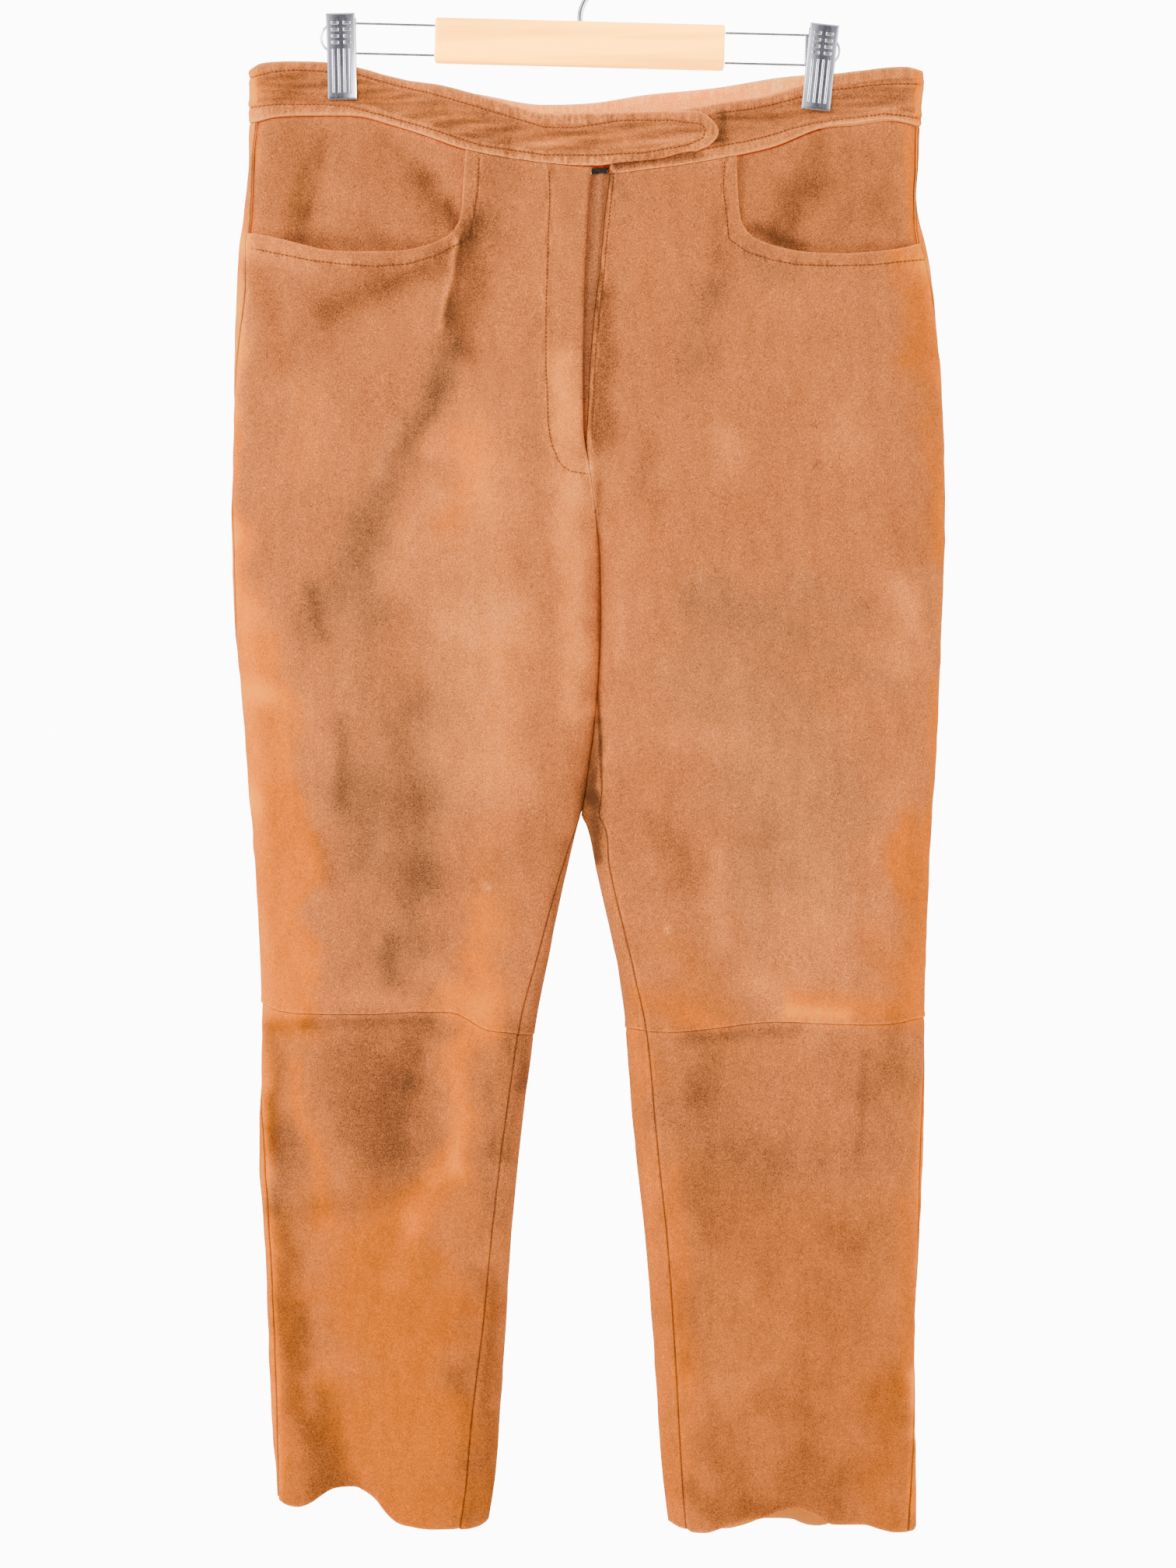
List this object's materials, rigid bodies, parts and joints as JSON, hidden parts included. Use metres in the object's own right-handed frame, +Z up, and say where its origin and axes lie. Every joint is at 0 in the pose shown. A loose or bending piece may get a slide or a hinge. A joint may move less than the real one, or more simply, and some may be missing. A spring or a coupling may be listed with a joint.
{
  "type": "suede trousers on a clip hanger",
  "caption": "Straight suede trousers with a round-tab waistband, scoop pockets, knee seams and raw hems, hung flat by the waist from a wood and wire clip hanger.",
  "frame": {"origin": "inside top of the hanger's hook, where a rail carries it", "axes": "+X to the garment's left side (image right), +Y to its back, +Z up"},
  "size_m": [0.495, 0.0618, 1.1142],
  "materials": {
    "suede": "napped suede, tan to orange",
    "suede_shield": "napped suede, darker",
    "zip_tape": "black woven tape",
    "wood": "pale wood, clear satin",
    "steel": "bright plated steel"
  },
  "bodies": {
    "root": {"front_upper_right": "suede", "front_upper_left": "suede", "front_lower_right": "suede", "front_lower_left": "suede", "back_upper_right": "suede", "back_upper_left": "suede", "back_lower_right": "suede", "back_lower_left": "suede", "hip_piece_right": "suede", "hip_piece_left": "suede", "waistband_right": "suede", "waistband_left": "suede", "waistband_back": "suede", "fly_shield": "suede_shield", "zip_tape": "zip_tape", "hanger_bar": "wood", "hanger_wire_right": "steel", "hanger_wire_left": "steel", "hanger_hook": "steel", "clip_right_front": "steel", "clip_right_back": "steel", "clip_right_core": "steel", "clip_left_front": "steel", "clip_left_back": "steel", "clip_left_core": "steel"}
  },
  "joints": []
}
